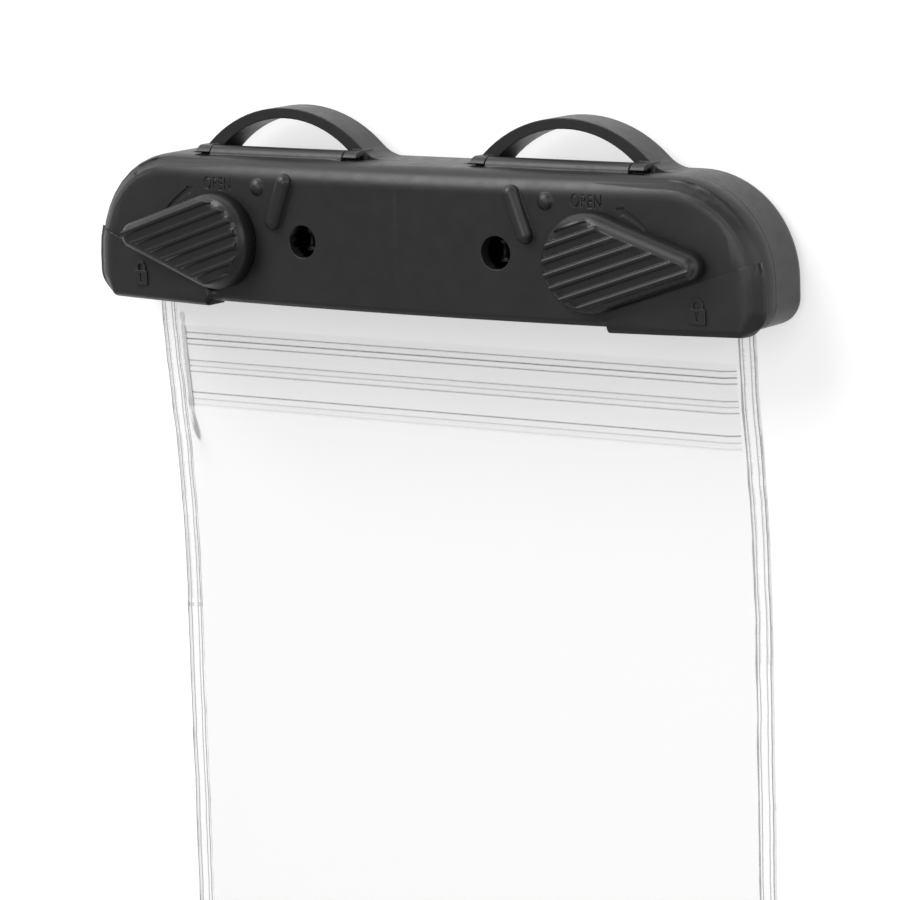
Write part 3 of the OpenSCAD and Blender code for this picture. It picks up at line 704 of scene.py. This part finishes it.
def slab(name, outline, low, high, matrix):
    """A closed slab over a counterclockwise outline (n by 2, mm), from low to high, then placed by matrix."""
    outline = np.asarray(outline, float)
    count = len(outline)
    points = np.empty((2 * count, 3))
    points[:, :2] = np.tile(outline, (2, 1))
    points[:count, 2], points[count:, 2] = low, high
    ring = np.arange(count)
    after = np.roll(ring, -1)
    walls = np.stack([ring, after, after + count, ring + count], axis=-1)
    mesh = bpy.data.meshes.new(name)
    mesh.from_pydata(
        (points * MILLIMETRE).tolist(), [], [ring[::-1].tolist(), (ring + count).tolist(), *walls.tolist()]
    )
    mesh.transform(matrix)
    return mesh


def arrow_outline(path, tail, neck, barb, head):
    """A curved arrow that widens from its tail to its neck and ends in a head, as a closed outline.

    path is three points; the shaft follows the quadratic curve through them, its half width growing evenly.
    """
    start, middle, end = (np.array(p, float) for p in path)
    t = np.linspace(0.0, 1.0, 15)[:, None]
    shaft = (1 - t) ** 2 * start + 2 * t * (1 - t) * (2 * middle - (start + end) / 2) + t**2 * end
    along = np.gradient(shaft, axis=0)
    along /= np.linalg.norm(along, axis=1)[:, None]
    across = np.stack([-along[:, 1], along[:, 0]], axis=-1)
    half = tail + (neck - tail) * t
    left, right = shaft + across * half, shaft - across * half
    tip = shaft[-1] + along[-1] * head
    barbs = shaft[-1] + across[-1] * barb, shaft[-1] - across[-1] * barb
    ring = np.concatenate([right, [barbs[1]], [tip], [barbs[0]], left[::-1]])
    x, y = ring.T
    area = np.sum(x * np.roll(y, -1) - y * np.roll(x, -1))
    return ring if area > 0 else ring[::-1]


def cut_out(piece, cutters):
    """Takes the closed cutter meshes out of the piece, exactly, and leaves a plain mesh."""
    for mesh in cutters:
        cutter = bpy.data.objects.new(mesh.name, mesh)
        bpy.context.scene.collection.objects.link(cutter)
        cut = piece.modifiers.new("cut", "BOOLEAN")
        cut.operation, cut.solver, cut.object = "DIFFERENCE", "EXACT", cutter
        bpy.context.view_layer.update()
        done = bpy.data.meshes.new_from_object(piece.evaluated_get(bpy.context.evaluated_depsgraph_get()))
        piece.modifiers.clear()
        bpy.data.objects.remove(cutter)
        done.name = piece.name
        piece.data = done
    return piece


ARROW_PATHS = {
    -1: ((-45.0, 13.2), (-42.75, 15.05), (-39.8, 16.85)),
    1: ((42.5, 13.45), (40.95, 15.3), (38.35, 16.85)),
}
sunk = [word_cutter("word", side) for side in (-1, 1)]
for side, path in ARROW_PATHS.items():
    centre = np.mean(path, axis=0)
    outline = arrow_outline(np.array(path) - centre, 0.12, 0.45, 0.75, 1.3)
    sunk.append(slab("arrow", outline, -SIGN_DEPTH, 1.0, face_frame(*centre)))
cut_out(front_shell, sunk)
front_shell.data.materials.clear()
front_shell.data.materials.append(shell_plastic)
soften(front_shell)
smooth_skin(front_shell)


# The padlock on each pad: a body with a shackle, raised by a third of a millimetre as part of the moulding,
# with a keyhole sunk into its middle.
LOCK_PLACES = {-1: (-49.7, 3.6), 1: (50.1, 3.1)}
LOCK_RISE = 0.3


def ring_band(outer, inner):
    """A closed outline of the band between two open paths of equal direction."""
    return np.concatenate([outer, inner[::-1]])


def padlock(name, side):
    """Body 2.6 by 2.2 mm, shackle a half ring on legs, both as one mesh of two closed slabs."""
    body = np.array([(-1.3, -1.9), (1.3, -1.9), (1.3, 0.35), (-1.3, 0.35)])
    turn = np.linspace(0.0, math.pi, 17)
    outer = np.stack([1.0 * np.cos(turn), 0.85 + 1.0 * np.sin(turn)], axis=-1)
    inner = np.stack([0.55 * np.cos(turn), 0.85 + 0.55 * np.sin(turn)], axis=-1)
    outer = np.concatenate([[(1.0, 0.2)], outer, [(-1.0, 0.2)]])
    inner = np.concatenate([[(0.55, 0.2)], inner, [(-0.55, 0.2)]])
    x, y = LOCK_PLACES[side]
    matrix = face_frame(x, y, PAD_RISE - PAD_FALL * float(pad_share(x)))
    piece = add_piece(
        name, slab(name, body, -0.3, LOCK_RISE, matrix), shell_plastic, "clamp_front", "black_plastic"
    )
    hole = np.array([(-0.16, -1.45), (0.16, -1.45), (0.16, -0.6), (0.3, -0.35), (0.16, -0.1), (-0.16, -0.1), (-0.3, -0.35), (-0.16, -0.6)])
    cut_out(piece, [slab("keyhole", hole, 0.02, 1.0, matrix)])
    shackle = slab("shackle", ring_band(outer, inner), -0.3, LOCK_RISE * 0.9, matrix)
    shape = bmesh.new()
    shape.from_mesh(piece.data)
    shape.from_mesh(shackle)
    shape.to_mesh(piece.data)
    shape.free()
    piece.data.materials.clear()
    piece.data.materials.append(shell_plastic)
    return piece


for side, name in ((-1, "left_padlock_sign"), (1, "right_padlock_sign")):
    padlock(name, side)


# The hinge pins and the cam screws: drawn steel, faintly streaked along the wire, the pins blackened.
STEEL_COLOUR = (0.62, 0.63, 0.65)
BLACKENED = (0.045, 0.045, 0.047)


def drawn_steel(name, colour):
    material, tree, output = new_material(name)
    place = node(tree, "ShaderNodeTexCoord")
    stretch = node(tree, "ShaderNodeMapping")
    stretch.inputs["Scale"].default_value = (60.0, 9000.0, 9000.0)
    link(tree, place.outputs["Object"], stretch.inputs["Vector"])
    streak = node(tree, "ShaderNodeTexNoise", Scale=1.0, Detail=3.0)
    link(tree, stretch.outputs["Vector"], streak.inputs["Vector"])
    shader = node(tree, "ShaderNodeBsdfPrincipled", Metallic=1.0)
    shader.inputs["Base Color"].default_value = (*colour, 1)
    gloss = node(tree, "ShaderNodeMapRange")
    gloss.inputs["To Min"].default_value = 0.18
    gloss.inputs["To Max"].default_value = 0.38
    link(tree, streak.outputs["Fac"], gloss.inputs["Value"])
    link(tree, gloss.outputs["Result"], shader.inputs["Roughness"])
    bump = node(tree, "ShaderNodeBump", Strength=0.25, Distance=0.000005)
    link(tree, streak.outputs["Fac"], bump.inputs["Height"])
    link(tree, bump.outputs["Normal"], shader.inputs["Normal"])
    link(tree, shader.outputs["BSDF"], output.inputs["Surface"])
    return material


bright_steel = drawn_steel("bright_steel", STEEL_COLOUR)
dark_steel = drawn_steel("dark_steel", BLACKENED)
for side in ("left", "right"):
    dress(f"{side}_cam_screw", bright_steel)
    dress(f"{side}_hinge_pin", dark_steel)


# The knobs and their lock cams: the knobs in the shells' black plastic with a slightly finer grain, the
# cams in a dark grey engineering plastic.
KNOB_COLOUR = (0.0105, 0.0107, 0.011)
CAM_COLOUR = (0.048, 0.049, 0.051)

knob_plastic = moulded_plastic("knob_plastic", KNOB_COLOUR, 0.38, grain=0.7)
cam_plastic = moulded_plastic("cam_plastic", CAM_COLOUR, 0.46, grain=0.8)
for side in ("left", "right"):
    knob = add_piece(
        f"{side}_grip",
        merged_mesh(f"{side}_knob", f"{side}_grip"),
        knob_plastic,
        f"{side}_lock",
        "knob_plastic",
        f"{side}_knob",
    )
    soften(knob, 24.0)
    dress(f"{side}_lock_cam", cam_plastic)


# The studio: a white table that keeps a soft shadow, one large lamp at the upper left, a weaker one at the
# right and an even white room.
ROOM_LIGHT = 0.32


def white_table():
    """A wide level sheet at the pouch's lowest point, which shows a little brighter to the camera."""
    mesh = bpy.data.meshes.new("table")
    reach = 3.0
    level = cad_box[0][2] - 0.00002
    mesh.from_pydata(
        [(-reach, -reach, level), (reach, -reach, level), (reach, reach, level), (-reach, reach, level)],
        [],
        [(0, 1, 2, 3)],
    )
    table = bpy.data.objects.new("table", mesh)
    bpy.context.scene.collection.objects.link(table)
    material, tree, output = new_material("table_white")
    matt = node(tree, "ShaderNodeBsdfDiffuse")
    matt.inputs["Color"].default_value = (0.55, 0.55, 0.55, 1)
    glow = node(tree, "ShaderNodeEmission")
    ray = node(tree, "ShaderNodeLightPath")
    seen = node(tree, "ShaderNodeMath", operation="MAXIMUM")
    link(tree, ray.outputs["Is Camera Ray"], seen.inputs[0])
    link(tree, ray.outputs["Is Glossy Ray"], seen.inputs[1])
    seen_too = node(tree, "ShaderNodeMath", operation="MAXIMUM")
    link(tree, seen.outputs["Value"], seen_too.inputs[0])
    link(tree, ray.outputs["Is Transmission Ray"], seen_too.inputs[1])
    lift = node(tree, "ShaderNodeMath", operation="MULTIPLY")
    lift.inputs[1].default_value = 0.58
    link(tree, seen_too.outputs["Value"], lift.inputs[0])
    link(tree, lift.outputs["Value"], glow.inputs["Strength"])
    both = node(tree, "ShaderNodeAddShader")
    link(tree, matt.outputs["BSDF"], both.inputs[0])
    link(tree, glow.outputs["Emission"], both.inputs[1])
    link(tree, both.outputs["Shader"], output.inputs["Surface"])
    mesh.materials.append(material)


def soft_lamp(name, place, aim, size, power):
    """A square soft lamp that faces its aim."""
    data = bpy.data.lights.new(name, "AREA")
    data.size = size
    data.energy = power
    lamp = bpy.data.objects.new(name, data)
    bpy.context.scene.collection.objects.link(lamp)
    away = (Vector(place) - Vector(aim)).to_track_quat("Z", "Y")
    lamp.matrix_world = Matrix.Translation(Vector(place)) @ away.to_matrix().to_4x4()


white_table()
soft_lamp("main_lamp", (-0.5, 0.95, 0.65), (0, 0.06, 0), 0.8, 12.0)
soft_lamp("camera_lamp", (0.25, 0.3, 0.9), (0, 0.06, 0), 0.5, 2.2)
soft_lamp("side_lamp", (0.95, 0.35, 0.35), (0, 0.06, 0), 0.6, 2.0)
room = bpy.data.worlds.new("white_room")
room.use_nodes = True
room.node_tree.nodes["Background"].inputs["Color"].default_value = (1, 1, 1, 1)
room.node_tree.nodes["Background"].inputs["Strength"].default_value = ROOM_LIGHT
bpy.context.scene.world = room
